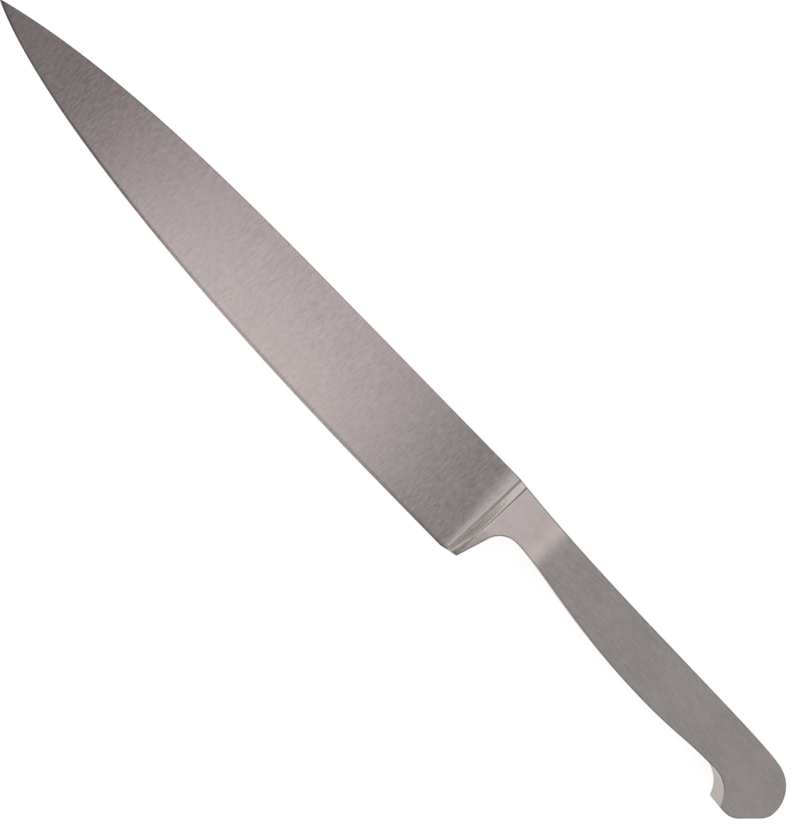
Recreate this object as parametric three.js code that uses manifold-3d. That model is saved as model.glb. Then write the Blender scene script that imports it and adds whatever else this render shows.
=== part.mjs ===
// All-steel ham knife.
// One forging carries the blade, the bolster with its finger guard, and a tang as long as the
// handle. A solid steel scale lies on each side of the tang. Three hidden dowel pins locate the
// scales, a thin braze foil joins them on, and the handle is ground flush all round.
//
// Millimetres. The knife lies on its right side, left side up: tip towards -X, spine towards +Y.
// It is drawn from the front crest of the bolster at the spine, on the blade's middle plane, so
// a setback is measured behind the crest and a depth below the spine. The finished group is then
// moved so that the origin lies under the middle of the knife's box.

import * as THREE from "three";
import { mergeVertices } from "three/addons/utils/BufferGeometryUtils.js";
import Module from "manifold-3d";

const { degToRad, lerp: mix, clamp } = THREE.MathUtils;

// Blade: tip to crest, and spine to edge at the heel
const BLADE_LENGTH = 210;
const BLADE_HEIGHT = 30.8;
const TIP_DEPTH = 10.85;
const TIP_WIDTH = 0.25;
// Straight runs ahead of the crest, and the slopes of the two curves at the tip. A pull says how
// far a curve keeps the slope of one of its ends.
const SPINE_STRAIGHT = 84;
const SPINE_TIP_SLOPE = degToRad(14.9);
const SPINE_TIP_PULL = 31;
const SPINE_STRAIGHT_PULL = 61;
const EDGE_STRAIGHT = 28;
const EDGE_TIP_SLOPE = degToRad(24);
const EDGE_TIP_PULL = 35.5;
const EDGE_STRAIGHT_PULL = 71;
// Blade thickness, along the spine and behind the sharpened bevel
const SPINE_THICKNESS = 2.6;
const TIP_THICKNESS = 1;
const EDGE_THICKNESS = 0.4;
const EDGE_LAND = 0.1;
const BEVEL_HEIGHT = 0.6;
const SPINE_EASE = 0.3;
// Towards the tip, the bevel and the eased spine take at most this share of the blade's width
const TIP_EASE_SHARE = 0.3;

// Bolster: a concave fillet rises from the blade to a low crest by a power of its run. A shallow
// groove lies behind the crest, and the wall behind it rises steeply to the shoulder. Towards the
// heel, fillet and groove narrow and flatten, and below the knee the shoulder thins down.
const CREST_LEAN = 0.55;
const CREST_RISE = 0.32;
const FILLET_LENGTH = 6.6;
const FILLET_POWER = 2.1;
const GROOVE_SETBACK = 0.62;
const GROOVE_KNEE_SETBACK = 0.75;
const GROOVE_DEPTH = 0.2;
const SHOULDER_SETBACK = 2.8;
const SHOULDER_KNEE_SETBACK = 2.45;
const SHOULDER_FOOT_SETBACK = 0.8;
const SHOULDER_THICKNESS = 6.6;
const KNEE_DEPTH = 17.6;
const HEEL_THICKNESS = 2.8;
const HEEL_FALL_POWER = 1.25;
const BOLSTER_ROUND = 0.5;

// Finger guard: the edge ends ahead of the crest and lifts to the heel, whose straight back runs
// into an arc up to the neck, the slimmest place of the handle
const EDGE_END = 2.7;
const HEEL_SETBACK = 2.9;
const HEEL_RISE = 1.2;
const GUARD_RADIUS = 6.9;
const NECK_SETBACK = 12.35;
const NECK_DEPTH = 14.2;

// Handle: crest to butt, and across its flat sides. The neck widens to the flats on a ramp.
const HANDLE_LENGTH = 121.1;
const HANDLE_THICKNESS = 14;
const HANDLE_ROUND = 0.5;
const RAMP_END_SETBACK = 23.4;
const RAMP_BLEND = 7.5;
// Top line of the handle, from the crest to the round butt, whose lower corner is cut flat
const TOP_SLOPE = degToRad(7.15);
const TOP_PULL = 34.6;
const TOP_END_SLOPE = degToRad(11.5);
const TOP_END_PULL = 12;
const BUTT_RADIUS = 10.7;
const BUTT_DEPTH = 4.42;
const BUTT_FLAT_CUT = 1.2;
const BUTT_FLAT_ANGLE = degToRad(-44);
// Belly line, swelling behind the neck and drawn in again before the hooked end
const NECK_PULL = 11.9;
const BULGE_SETBACK = 71.4;
const BULGE_DEPTH = 20;
const BULGE_FRONT_PULL = 28.9;
const BULGE_REAR_PULL = 13.8;
const HOOK_PULL = 13.8;
const HOOK_DEPTH = 18.87;
const HOOK_RADIUS = 9.66;
const BEAK_LEAN = degToRad(9.9);

// Hidden build of the handle: the scales butt against the forging just behind the neck. A cover
// is the steel left over the end of each pin hole.
const JOINT_BEHIND_NECK = 1.7;
const TANG_THICKNESS = 2.5;
const FOIL_THICKNESS = 0.15;
const PIN_DIAMETER = 4;
const PIN_CLEARANCE = 0.05;
const PIN_END_CLEARANCE = 0.3;
const PIN_COVER = 1.8;
const PIN_FRONT_MARGIN = 16;
const PIN_BUTT_MARGIN = 22;
const PIN_NAMES = ["front_dowel_pin", "middle_dowel_pin", "rear_dowel_pin"];

// Mesh fineness
const BLADE_STEPS = 26;
const TIP_CROWDING = 1.5;
const FILLET_STEPS = 8;
const GUARD_BACK_STEPS = 4;
const GUARD_ARC_STEPS = 8;
const FRONT_BELLY_STEPS = 16;
const RAMP_CROWDING = 1.4;
const REAR_BELLY_STEPS = 6;
const HOOK_STEPS = 8;
// From the beak to the flat, along the flat, and on to the apex
const BUTT_STEPS = [4, 4, 1];
const ROUND_STEPS = 3;
const UPPER_SIDE_STEPS = 2;
const LOWER_SIDE_STEPS = 5;
const PIN_SIDES = 24;
const CURVE_HALVINGS = 40;
const WELD_DIGITS = 5;

const at = (x, y) => new THREE.Vector2(x, y);
const polar = (centre, radius, angle) =>
  at(centre.x + radius * Math.cos(angle), centre.y + radius * Math.sin(angle));
const progress = (value, from, to) => clamp((value - from) / (to - from), 0, 1);
const shares = (count) => Array.from({ length: count }, (_, step) => (step + 1) / count);

// Curve that leaves its start at one slope and reaches its end at another
function fairCurve(start, startSlope, startPull, end, endSlope, endPull) {
  const leave = polar(start, startPull, startSlope);
  const arrive = polar(end, -endPull, endSlope);
  return new THREE.CubicBezierCurve(start, leave, arrive, end);
}

// Height of a curve that runs towards +X, at a given x
function heightAt(curve, x) {
  let low = 0;
  let high = 1;
  for (let halving = 0; halving < CURVE_HALVINGS; halving += 1) {
    const middle = (low + high) / 2;
    if (curve.getPoint(middle).x < x) low = middle;
    else high = middle;
  }
  return curve.getPoint(low).y;
}

// Outline of the knife
const tip = at(-BLADE_LENGTH, -TIP_DEPTH);
const spineCurve = fairCurve(
  at(tip.x, tip.y + TIP_WIDTH / 2), SPINE_TIP_SLOPE, SPINE_TIP_PULL,
  at(-SPINE_STRAIGHT, 0), 0, SPINE_STRAIGHT_PULL,
);
const edgeCurve = fairCurve(
  at(tip.x, tip.y - TIP_WIDTH / 2), -EDGE_TIP_SLOPE, EDGE_TIP_PULL,
  at(-EDGE_STRAIGHT, -BLADE_HEIGHT), 0, EDGE_STRAIGHT_PULL,
);
const heel = at(HEEL_SETBACK, HEEL_RISE - BLADE_HEIGHT);
const neck = at(NECK_SETBACK, -NECK_DEPTH);
const bulge = at(BULGE_SETBACK, -BULGE_DEPTH);
const jointX = neck.x + JOINT_BEHIND_NECK;

const guardCentre = at(neck.x, neck.y - GUARD_RADIUS);
const guardToHeel = heel.clone().sub(guardCentre);
const guardArcStart = guardToHeel.angle() - Math.acos(GUARD_RADIUS / guardToHeel.length());

const buttCentre = at(HANDLE_LENGTH - BUTT_RADIUS, -BUTT_DEPTH - BUTT_RADIUS);
const topEndAngle = Math.PI / 2 - TOP_END_SLOPE;
const topEnd = polar(buttCentre, BUTT_RADIUS, topEndAngle);
const beakAngle = -Math.PI / 2 - BEAK_LEAN;
const beak = polar(buttCentre, BUTT_RADIUS, beakAngle);
// The butt's outermost place, halfway round between the top line and the beak
const apexAngle = (topEndAngle + beakAngle) / 2;
const flatReach = BUTT_RADIUS - BUTT_FLAT_CUT;
const flatSpread = Math.acos(flatReach / BUTT_RADIUS);

const hookCentreY = -HOOK_DEPTH - HOOK_RADIUS;
const hookReach = Math.sqrt(HOOK_RADIUS ** 2 - (beak.y - hookCentreY) ** 2);
const hookCentre = at(beak.x - hookReach, hookCentreY);
const hookRoot = at(hookCentre.x, -HOOK_DEPTH);
const hookEndAngle = Math.atan2(beak.y - hookCentre.y, hookReach);

const topLine = fairCurve(at(0, 0), -TOP_SLOPE, TOP_PULL, topEnd, -TOP_END_SLOPE, TOP_END_PULL);
const frontBelly = fairCurve(neck, 0, NECK_PULL, bulge, 0, BULGE_FRONT_PULL);
const rearBelly = fairCurve(bulge, 0, BULGE_REAR_PULL, hookRoot, 0, HOOK_PULL);

function spineY(x) {
  if (x < -SPINE_STRAIGHT) return heightAt(spineCurve, x);
  return x < 0 ? 0 : heightAt(topLine, x);
}

function edgeY(x) {
  if (x < -EDGE_STRAIGHT) return heightAt(edgeCurve, x);
  return mix(-BLADE_HEIGHT, heel.y, progress(x, -EDGE_END, heel.x));
}

function bellyY(x) {
  return heightAt(x < bulge.x ? frontBelly : rearBelly, x);
}

// Half thicknesses
const easeLimit = (x) => TIP_EASE_SHARE * (spineY(x) - edgeY(x));
const bevelHeight = (x) => Math.min(BEVEL_HEIGHT, easeLimit(x));

function bladeHalf(x, y) {
  const spineThickness = mix(TIP_THICKNESS, SPINE_THICKNESS, progress(x, -BLADE_LENGTH, 0));
  const rise = progress(y, edgeY(x) + bevelHeight(x), spineY(x));
  return mix(EDGE_THICKNESS, spineThickness, rise) / 2;
}

// Lines of the bolster: its crest, and where its fillet starts
const kneeShare = KNEE_DEPTH / BLADE_HEIGHT;
const crestKneeX = -CREST_LEAN * kneeShare;
const filletKneeX = mix(-FILLET_LENGTH, -EDGE_END, kneeShare);
const filletFootLength = EDGE_END - CREST_LEAN;

// The blade's half thickness raised by a rise at the spine, and by less where the fillet is shorter
function raisedHalf(rise, x, y) {
  const left = mix(1, filletFootLength / FILLET_LENGTH, progress(y, 0, -BLADE_HEIGHT));
  return bladeHalf(x, y) + rise * left;
}

// Full down to the knee, then thinning to the heel
function shoulderHalf(y) {
  const fall = progress(y, -KNEE_DEPTH, -BLADE_HEIGHT) ** HEEL_FALL_POWER;
  return mix(SHOULDER_THICKNESS, HEEL_THICKNESS, fall) / 2;
}

// How far the neck has widened on each side: a straight ramp that levels off into the flats
function rampRise(x) {
  const rise = (HANDLE_THICKNESS - SHOULDER_THICKNESS) / 2;
  const straight = RAMP_END_SETBACK - RAMP_BLEND - SHOULDER_SETBACK;
  const run = clamp(x - SHOULDER_SETBACK, 0, straight + RAMP_BLEND);
  const bend = Math.max(0, run - straight);
  const slope = rise / (straight + RAMP_BLEND / 2);
  return slope * (run - bend ** 2 / (2 * RAMP_BLEND));
}

const handleHalf = (x) => SHOULDER_THICKNESS / 2 + rampRise(x);

// Columns cross the knife's side from the spine to the edge or belly, over a knee on the way.
// Each has a half thickness at any of its points, edge rounds, and a share of sharpened bevel at
// its foot. Only those that need it have inward directions of their own.
function bladeColumn(run) {
  const x = mix(-BLADE_LENGTH, -FILLET_LENGTH, run);
  const footX = mix(-BLADE_LENGTH, -EDGE_END, run);
  const foot = at(footX, edgeY(footX));
  const top = at(x, spineY(x));
  return {
    top,
    knee: top.clone().lerp(foot, kneeShare),
    foot,
    half: bladeHalf,
    topRound: Math.min(SPINE_EASE, easeLimit(x)),
    footRound: 0,
    bevel: 1,
  };
}

function bladeColumns() {
  return [0, ...shares(BLADE_STEPS)].map((run) => bladeColumn(run ** TIP_CROWDING));
}

const bevelLeft = (x) => 1 - progress(x, -EDGE_END, heel.x);

function filletColumns() {
  return shares(FILLET_STEPS).map((run) => {
    const x = mix(-FILLET_LENGTH, 0, run);
    const footX = mix(-EDGE_END, -CREST_LEAN, run);
    return {
      top: at(x, spineY(x)),
      knee: at(mix(filletKneeX, crestKneeX, run), -KNEE_DEPTH),
      foot: at(footX, edgeY(footX)),
      half: (px, py) => raisedHalf(CREST_RISE * run ** FILLET_POWER, px, py),
      topRound: mix(SPINE_EASE, BOLSTER_ROUND, run),
      footRound: BOLSTER_ROUND,
      bevel: bevelLeft(footX),
    };
  });
}

// The groove's floor and the rear shoulder
function grooveColumns() {
  const floor = {
    x: GROOVE_SETBACK,
    kneeX: GROOVE_KNEE_SETBACK,
    footX: mix(-CREST_LEAN, SHOULDER_FOOT_SETBACK, GROOVE_SETBACK / SHOULDER_SETBACK),
    half: (px, py) => raisedHalf(CREST_RISE - GROOVE_DEPTH, px, py),
  };
  const shoulder = {
    x: SHOULDER_SETBACK,
    kneeX: SHOULDER_KNEE_SETBACK,
    footX: SHOULDER_FOOT_SETBACK,
    half: (px, py) => shoulderHalf(py),
  };
  return [floor, shoulder].map(({ x, kneeX, footX, half }) => ({
    top: at(x, spineY(x)),
    knee: at(kneeX, -KNEE_DEPTH),
    foot: at(footX, edgeY(footX)),
    half,
    topRound: BOLSTER_ROUND,
    footRound: BOLSTER_ROUND,
    bevel: bevelLeft(footX),
  }));
}

// Columns behind the shoulder fan round the finger guard, from the heel up to the joint
function guardColumns() {
  const kneeLean = SHOULDER_SETBACK - SHOULDER_KNEE_SETBACK;
  const guardStart = polar(guardCentre, GUARD_RADIUS, guardArcStart);
  const back = shares(GUARD_BACK_STEPS).map((run) => heel.clone().lerp(guardStart, run));
  const arc = shares(GUARD_ARC_STEPS).map((run) =>
    polar(guardCentre, GUARD_RADIUS, mix(guardArcStart, Math.PI / 2, run)));
  const feet = [heel, ...back, ...arc];
  const columns = feet.map((foot, step) => {
    const run = (step + 1) / (feet.length + 1);
    const x = mix(SHOULDER_SETBACK, jointX, run);
    const kneeY = mix(-KNEE_DEPTH, -NECK_DEPTH / 2, run);
    const round = mix(BOLSTER_ROUND, HANDLE_ROUND, run);
    return {
      top: at(x, spineY(x)),
      knee: at(mix(x - kneeLean * (1 - run), foot.x, run / 2), kneeY),
      foot,
      half: (px, py) => shoulderHalf(py) + rampRise(px),
      topRound: round,
      footRound: round,
      bevel: 0,
    };
  });
  return [...columns, squareColumn(jointX)];
}

function handleColumn(top, foot) {
  return { top, foot, half: handleHalf, topRound: HANDLE_ROUND, footRound: HANDLE_ROUND, bevel: 0 };
}

// Column that lies wholly in the plane square to the knife at x
function squareColumn(x) {
  const column = handleColumn(at(x, spineY(x)), at(x, bellyY(x)));
  return { ...column, topInward: at(0, -1), footInward: at(0, 1) };
}

// Columns behind the joint: square along the belly, then fanning round the hook and the butt
function handleColumns() {
  const front = shares(FRONT_BELLY_STEPS).map((run) =>
    mix(jointX, bulge.x, run ** RAMP_CROWDING));
  const rear = shares(REAR_BELLY_STEPS).map((run) => mix(bulge.x, hookRoot.x, run));
  const belly = [...front, ...rear].map((x) => handleColumn(at(x, spineY(x)), at(x, bellyY(x))));
  const hook = shares(HOOK_STEPS).map((run) =>
    polar(hookCentre, HOOK_RADIUS, mix(Math.PI / 2, hookEndAngle, run)));
  const feet = [...hook, ...buttFeet()];
  const fan = feet.map((foot, step) => handleColumn(topBehindHook((step + 1) / feet.length), foot));
  const inward = polar(at(0, 0), -1, apexAngle);
  const apex = { ...fan[fan.length - 1], topInward: inward, footInward: inward };
  return [squareColumn(jointX), ...belly, ...fan.slice(0, -1), apex];
}

// Places on the butt from the beak to the apex, where the flat cuts the round
function buttFeet() {
  const flatStart = BUTT_FLAT_ANGLE - flatSpread;
  const flatEnd = BUTT_FLAT_ANGLE + flatSpread;
  const stops = [beakAngle, flatStart, flatEnd, apexAngle];
  const angles = BUTT_STEPS.flatMap((steps, i) =>
    shares(steps).map((run) => mix(stops[i], stops[i + 1], run)));
  return angles.map((angle) => {
    const flat = flatReach / Math.cos(angle - BUTT_FLAT_ANGLE);
    return polar(buttCentre, Math.min(BUTT_RADIUS, flat), angle);
  });
}

// Place on the top line and the butt's arc, by the share of the way from above the hook to the apex
function topBehindHook(run) {
  const line = topEnd.x - hookRoot.x;
  const arc = BUTT_RADIUS * (topEndAngle - apexAngle);
  const distance = run * (line + arc);
  const x = hookRoot.x + distance;
  if (distance < line) return at(x, spineY(x));
  return polar(buttCentre, BUTT_RADIUS, mix(topEndAngle, apexAngle, (distance - line) / arc));
}

// Unit directions into the knife, square to a row of outline points that runs towards the butt
function inwardDirections(points, side) {
  return points.map((_, i) => {
    const before = points[Math.max(0, i - 1)];
    const after = points[Math.min(points.length - 1, i + 1)];
    const along = after.clone().sub(before).normalize();
    return at(along.y * side, -along.x * side);
  });
}

// Points of one edge, from the outline inwards: a quarter round, a flat bevel, or between them.
// A round takes at most half of the wall that it is on.
function edgePoints(column, outline, inward, round, bevel) {
  const radius = Math.min(round, column.half(outline.x, outline.y) / 2);
  const reach = mix(radius, bevelHeight(outline.x), bevel);
  const inner = outline.clone().addScaledVector(inward, reach);
  const half = column.half(inner.x, inner.y);
  const wall = mix(half - radius, EDGE_LAND / 2, bevel);
  return [0, ...shares(ROUND_STEPS)].map((run) => {
    const turn = run * Math.PI / 2;
    const inset = reach * mix(1 - Math.cos(turn), run, bevel);
    const rise = mix(Math.sin(turn), run, bevel);
    const place = outline.clone().addScaledVector(inward, inset);
    return new THREE.Vector3(place.x, place.y, mix(wall, half, rise));
  });
}

// Points of a column from spine to foot, each at its half thickness
function columnPoints(column, topInward, footInward) {
  const topEdge = edgePoints(column, column.top, topInward, column.topRound, 0);
  const footEdge = edgePoints(column, column.foot, footInward, column.footRound, column.bevel);
  const start = topEdge[ROUND_STEPS];
  const end = footEdge[ROUND_STEPS];
  const knee = column.knee ?? at((start.x + end.x) / 2, (start.y + end.y) / 2);
  const side = [];
  const addRun = (from, to, steps) => shares(steps).forEach((run) => {
    const x = mix(from.x, to.x, run);
    const y = mix(from.y, to.y, run);
    side.push(new THREE.Vector3(x, y, column.half(x, y)));
  });
  addRun(start, knee, UPPER_SIDE_STEPS);
  addRun(knee, end, LOWER_SIDE_STEPS);
  return [...topEdge, ...side.slice(0, -1), ...footEdge.reverse()];
}

function sectionsOf(columns) {
  const topInward = inwardDirections(columns.map((column) => column.top), 1);
  const footInward = inwardDirections(columns.map((column) => column.foot), -1);
  return columns.map((column, i) => columnPoints(
    column, column.topInward ?? topInward[i], column.footInward ?? footInward[i],
  ));
}

// Closed solid through sections of points, between an upper and a lower height at each point.
// The first section gets an end face. The last is the butt's apex, which folds onto itself.
function loft(sections, upper, lower) {
  const numbers = new Map();
  const positions = [];
  const triangles = [];
  const vertex = (point, height) => {
    const place = [point.x, point.y, height(point)];
    const key = place.map((value) => value.toFixed(WELD_DIGITS)).join(" ");
    if (!numbers.has(key)) {
      numbers.set(key, numbers.size);
      positions.push(...place);
    }
    return numbers.get(key);
  };
  const triangle = (a, b, c) => {
    if (a !== b && b !== c && c !== a) triangles.push(a, b, c);
  };
  const quad = (a, b, c, d) => {
    triangle(a, b, c);
    triangle(a, c, d);
  };
  const tops = sections.map((section) => section.map((point) => vertex(point, upper)));
  const bottoms = sections.map((section) => section.map((point) => vertex(point, lower)));
  const lastRow = sections[0].length - 1;
  const lastColumn = sections.length - 1;
  for (let i = 0; i < lastColumn; i += 1) {
    for (let j = 0; j < lastRow; j += 1) {
      quad(tops[i][j], tops[i][j + 1], tops[i + 1][j + 1], tops[i + 1][j]);
      quad(bottoms[i][j], bottoms[i + 1][j], bottoms[i + 1][j + 1], bottoms[i][j + 1]);
    }
    quad(tops[i][0], tops[i + 1][0], bottoms[i + 1][0], bottoms[i][0]);
    quad(tops[i][lastRow], bottoms[i][lastRow], bottoms[i + 1][lastRow], tops[i + 1][lastRow]);
  }
  for (let j = 0; j < lastRow; j += 1) {
    quad(tops[0][j], bottoms[0][j], bottoms[0][j + 1], tops[0][j + 1]);
  }
  const geometry = new THREE.BufferGeometry();
  geometry.setAttribute("position", new THREE.Float32BufferAttribute(positions, 3));
  geometry.setIndex(triangles);
  return geometry;
}

// Cutting with manifold solids
const wasm = await Module();
wasm.setup();

function solidOf(geometry) {
  const bare = geometry.clone();
  bare.deleteAttribute("normal");
  bare.deleteAttribute("uv");
  const merged = mergeVertices(bare);
  return new wasm.Manifold(new wasm.Mesh({
    numProp: 3,
    vertProperties: merged.attributes.position.array,
    triVerts: Uint32Array.from(merged.index.array),
  }));
}

function cut(geometry, cutters) {
  const body = cutters.reduce((left, cutter) => left.subtract(solidOf(cutter)), solidOf(geometry));
  const mesh = body.getMesh();
  const result = new THREE.BufferGeometry();
  result.setAttribute("position", new THREE.BufferAttribute(mesh.vertProperties, 3));
  result.setIndex(new THREE.BufferAttribute(mesh.triVerts, 1));
  return result;
}

// Round bar along Z between two heights
function bar(place, radius, low, high) {
  const geometry = new THREE.CylinderGeometry(radius, radius, high - low, PIN_SIDES);
  geometry.rotateX(Math.PI / 2);
  geometry.translate(place.x, place.y, (low + high) / 2);
  return geometry;
}

// Pieces
const tangHalf = TANG_THICKNESS / 2;
const scaleFloor = tangHalf + FOIL_THICKNESS;
const holeHalf = HANDLE_THICKNESS / 2 - PIN_COVER;
const pinHalf = holeHalf - PIN_END_CLEARANCE;
const holeRadius = PIN_DIAMETER / 2 + PIN_CLEARANCE;
const handleSections = sectionsOf(handleColumns());

const pinPlaces = PIN_NAMES.map((_, i) => {
  const first = jointX + PIN_FRONT_MARGIN;
  const last = HANDLE_LENGTH - PIN_BUTT_MARGIN;
  const x = mix(first, last, i / (PIN_NAMES.length - 1));
  return at(x, (spineY(x) + bellyY(x)) / 2);
});
const pinHoles = pinPlaces.map((place) => bar(place, holeRadius, -holeHalf, holeHalf));

// The forging's sections step down to the tang in the joint plane
function bladeForging() {
  const front = [...bladeColumns(), ...filletColumns(), ...grooveColumns(), ...guardColumns()];
  const tang = handleSections.map((section) =>
    section.map((point) => new THREE.Vector3(point.x, point.y, tangHalf)));
  const sections = [...sectionsOf(front), ...tang];
  return cut(loft(sections, (point) => point.z, (point) => -point.z), pinHoles);
}

function leftScale() {
  return cut(loft(handleSections, (point) => point.z, () => scaleFloor), pinHoles);
}

function rightScale() {
  return cut(loft(handleSections, () => -scaleFloor, (point) => -point.z), pinHoles);
}

// Thin sheet with the handle's outline and holes for the pins
function brazeFoil(floor) {
  const topRow = handleSections.map((section) => section[0]);
  const footRow = handleSections.map((section) => section[section.length - 1]);
  const outline = [...topRow, ...footRow.reverse().slice(1)].map((point) => at(point.x, point.y));
  const options = { depth: FOIL_THICKNESS, bevelEnabled: false };
  const sheet = new THREE.ExtrudeGeometry(new THREE.Shape(outline), options);
  return cut(sheet.translate(0, 0, floor), pinHoles);
}

function dowelPin(place) {
  return bar(place, PIN_DIAMETER / 2, -pinHalf, pinHalf);
}

// Finishes
const groundSteel = { color: "#aaa39e", roughness: 0.34, metalness: 1 };
const satinSteel = { color: "#a39d97", roughness: 0.38, metalness: 1 };
const pinSteel = { color: "#8f8c88", roughness: 0.3, metalness: 1 };
const filler = { color: "#b5a78c", roughness: 0.5, metalness: 1 };

const knife = new THREE.Group();
knife.name = "ham_knife";
knife.position.set((BLADE_LENGTH - HANDLE_LENGTH) / 2, BLADE_HEIGHT / 2, HANDLE_THICKNESS / 2);

function addPiece(name, geometry, finish) {
  const piece = new THREE.Mesh(geometry, new THREE.MeshStandardMaterial(finish));
  piece.name = name;
  knife.add(piece);
}

addPiece("blade_forging", bladeForging(), groundSteel);
addPiece("left_handle_scale", leftScale(), satinSteel);
addPiece("right_handle_scale", rightScale(), satinSteel);
addPiece("left_braze_foil", brazeFoil(tangHalf), filler);
addPiece("right_braze_foil", brazeFoil(-scaleFloor), filler);
PIN_NAMES.forEach((name, i) => addPiece(name, dowelPin(pinPlaces[i]), pinSteel));

export default knife;
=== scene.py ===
"""Looks of an all-steel ham knife: fine ground surfaces, brushed finishes and a white studio.

Lengths in the drawing of the knife are in millimetres. The knife is drawn as the smith sees it:
x = 0 is the front crest of the bolster at the spine, +x runs to the butt, y = 0 is the spine, and
z = 0 is the middle plane of the blade. The meshes then go to the frame, in metres.
"""

from math import acos, atan2, cos, hypot, pi, radians, sin, sqrt, tan

import bmesh
import bpy
import numpy as np
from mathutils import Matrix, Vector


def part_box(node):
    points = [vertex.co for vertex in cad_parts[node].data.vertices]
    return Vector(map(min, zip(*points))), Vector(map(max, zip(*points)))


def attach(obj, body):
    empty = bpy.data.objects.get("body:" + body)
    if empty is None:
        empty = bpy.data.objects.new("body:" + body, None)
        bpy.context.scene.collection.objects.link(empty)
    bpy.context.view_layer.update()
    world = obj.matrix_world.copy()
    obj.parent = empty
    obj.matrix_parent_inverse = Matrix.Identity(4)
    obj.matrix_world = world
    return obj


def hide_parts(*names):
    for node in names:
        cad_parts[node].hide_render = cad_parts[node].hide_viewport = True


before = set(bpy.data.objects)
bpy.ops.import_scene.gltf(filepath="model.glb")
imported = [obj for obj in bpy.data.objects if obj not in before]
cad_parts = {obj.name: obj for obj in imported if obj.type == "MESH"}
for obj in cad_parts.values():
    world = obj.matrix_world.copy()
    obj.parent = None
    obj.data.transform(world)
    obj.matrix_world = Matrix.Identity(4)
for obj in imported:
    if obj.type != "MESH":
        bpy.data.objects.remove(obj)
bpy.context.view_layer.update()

# Blade
BLADE_LENGTH = 210
BLADE_HEIGHT = 30.8
TIP_DEPTH = 10.85
TIP_WIDTH = 0.25
SPINE_STRAIGHT = 84
SPINE_TIP_SLOPE = radians(14.9)
SPINE_TIP_PULL = 31
SPINE_STRAIGHT_PULL = 61
EDGE_STRAIGHT = 28
EDGE_TIP_SLOPE = radians(24)
EDGE_TIP_PULL = 35.5
EDGE_STRAIGHT_PULL = 71
SPINE_THICKNESS = 2.6
TIP_THICKNESS = 1
EDGE_THICKNESS = 0.4
EDGE_LAND = 0.1
BEVEL_HEIGHT = 0.6
SPINE_EASE = 0.3
TIP_EASE_SHARE = 0.3

# Bolster
CREST_LEAN = 0.55
CREST_RISE = 0.32
FILLET_LENGTH = 6.6
FILLET_POWER = 2.1
GROOVE_SETBACK = 0.62
GROOVE_KNEE_SETBACK = 0.75
GROOVE_DEPTH = 0.2
SHOULDER_SETBACK = 2.8
SHOULDER_KNEE_SETBACK = 2.45
SHOULDER_FOOT_SETBACK = 0.8
SHOULDER_THICKNESS = 6.6
KNEE_DEPTH = 17.6
HEEL_THICKNESS = 2.8
HEEL_FALL_POWER = 1.25
BOLSTER_ROUND = 0.5

# Finger guard
EDGE_END = 2.7
HEEL_SETBACK = 2.9
HEEL_RISE = 1.2
GUARD_RADIUS = 6.9
NECK_SETBACK = 12.35
NECK_DEPTH = 14.2

# Handle
HANDLE_LENGTH = 121.1
HANDLE_THICKNESS = 14
HANDLE_ROUND = 0.5
RAMP_END_SETBACK = 23.4
RAMP_BLEND = 7.5
TOP_SLOPE = radians(7.15)
TOP_PULL = 34.6
TOP_END_SLOPE = radians(11.5)
TOP_END_PULL = 12
BUTT_RADIUS = 10.7
BUTT_DEPTH = 4.42
BUTT_FLAT_CUT = 1.2
BUTT_FLAT_ANGLE = radians(-44)
BUTT_FLAT_EASE = radians(9)
NECK_PULL = 11.9
BULGE_SETBACK = 71.4
BULGE_DEPTH = 20
BULGE_FRONT_PULL = 28.9
BULGE_REAR_PULL = 13.8
HOOK_PULL = 13.8
HOOK_DEPTH = 18.87
HOOK_RADIUS = 9.66
BEAK_LEAN = radians(9.9)

# Hidden build of the handle
JOINT_BEHIND_NECK = 1.7
TANG_THICKNESS = 2.5
FOIL_THICKNESS = 0.15
PIN_CLEARANCE = 0.05
PIN_END_CLEARANCE = 0.3
PIN_NAMES = ("front_dowel_pin", "middle_dowel_pin", "rear_dowel_pin")

# Fineness of the meshes. Creases of the bolster are softened over a small width.
CURVE_POINTS = 2001
BLADE_COLUMNS = 130
TIP_CROWDING = 1.5
FILLET_COLUMNS = 26
GROOVE_COLUMNS = 8
GUARD_COLUMNS = 55
FRONT_BELLY_COLUMNS = 70
REAR_BELLY_COLUMNS = 24
HOOK_COLUMNS = 26
BUTT_COLUMNS = 36
ROUND_STEPS = 5
SIDE_STEPS = 26
KNEE_SOFTENINGS = 4
PIN_SIDES = 32
CREST_EASE = 0.12
SHOULDER_EASE = 0.35
CREASE_SAMPLES = 9
CREASE_CROWDING = 3
CREASE_ANGLE = radians(28)

MM = 0.001
WELD_DISTANCE = 0.0005 * MM
# Rub on an edge fades out at this many times the rows of its round
RUB_REACH = 1.4
# The blade's painted light rises over this length ahead of the bolster's crest
BOLSTER_PAINTED_LIGHT_REACH = 16
# Where the origin of the drawing lies in the frame
KNIFE_PLACE = np.array(
    [(BLADE_LENGTH - HANDLE_LENGTH) / 2, BLADE_HEIGHT / 2, HANDLE_THICKNESS / 2]
)


def mix(low, high, share):
    return low + (high - low) * share


def progress(value, start, end):
    return np.clip((value - start) / (end - start), 0, 1)


def at(x, y):
    return np.array([x, y], float)


def polar(centre, radius, angle):
    return at(centre[0] + radius * cos(angle), centre[1] + radius * sin(angle))


def fair_curve(start, start_slope, start_pull, end, end_slope, end_pull):
    """Points of a curve that leaves its start at one slope and reaches its end at another."""
    leave = polar(start, start_pull, start_slope)
    arrive = polar(end, -end_pull, end_slope)
    t = np.linspace(0, 1, CURVE_POINTS)[:, None]
    u = 1 - t
    return u**3 * start + 3 * u**2 * t * leave + 3 * u * t**2 * arrive + t**3 * end


def height_at(curve, x):
    return np.interp(x, curve[:, 0], curve[:, 1])


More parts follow.
